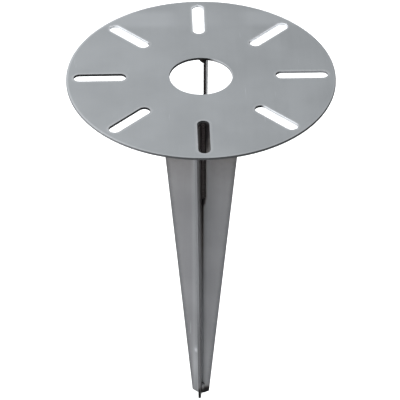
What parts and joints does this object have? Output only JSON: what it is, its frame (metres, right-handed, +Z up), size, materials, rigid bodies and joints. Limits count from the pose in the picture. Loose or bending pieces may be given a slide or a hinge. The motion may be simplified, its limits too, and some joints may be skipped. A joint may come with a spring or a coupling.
{
  "type": "ground spike",
  "caption": "Steel ground spike: a round slotted mounting disc with a central cable hole on a tapered cross-shaped stake of folded angle blades.",
  "frame": {"origin": "centre of the cable hole at the disc's top face", "axes": "+Z up out of the disc's top face, with the stake pointing down; X and Y each run along a pair of opposite slots"},
  "size_m": [0.15, 0.15, 0.2415],
  "materials": {
    "disc_steel": "satin sheet steel",
    "blade_steel": "satin sheet steel with dark cut edges",
    "weld_metal": "rippled weld bead with heat tint"
  },
  "bodies": {
    "root": {"mounting_disc": "disc_steel", "blade_front_left": "blade_steel", "blade_back_right": "blade_steel", "ear_weld_left": "weld_metal", "ear_weld_right": "weld_metal", "ear_weld_front": "weld_metal", "ear_weld_back": "weld_metal", "seam_weld_front": "weld_metal", "seam_weld_back": "weld_metal", "tip_weld_front": "weld_metal", "tip_weld_back": "weld_metal"}
  },
  "joints": []
}
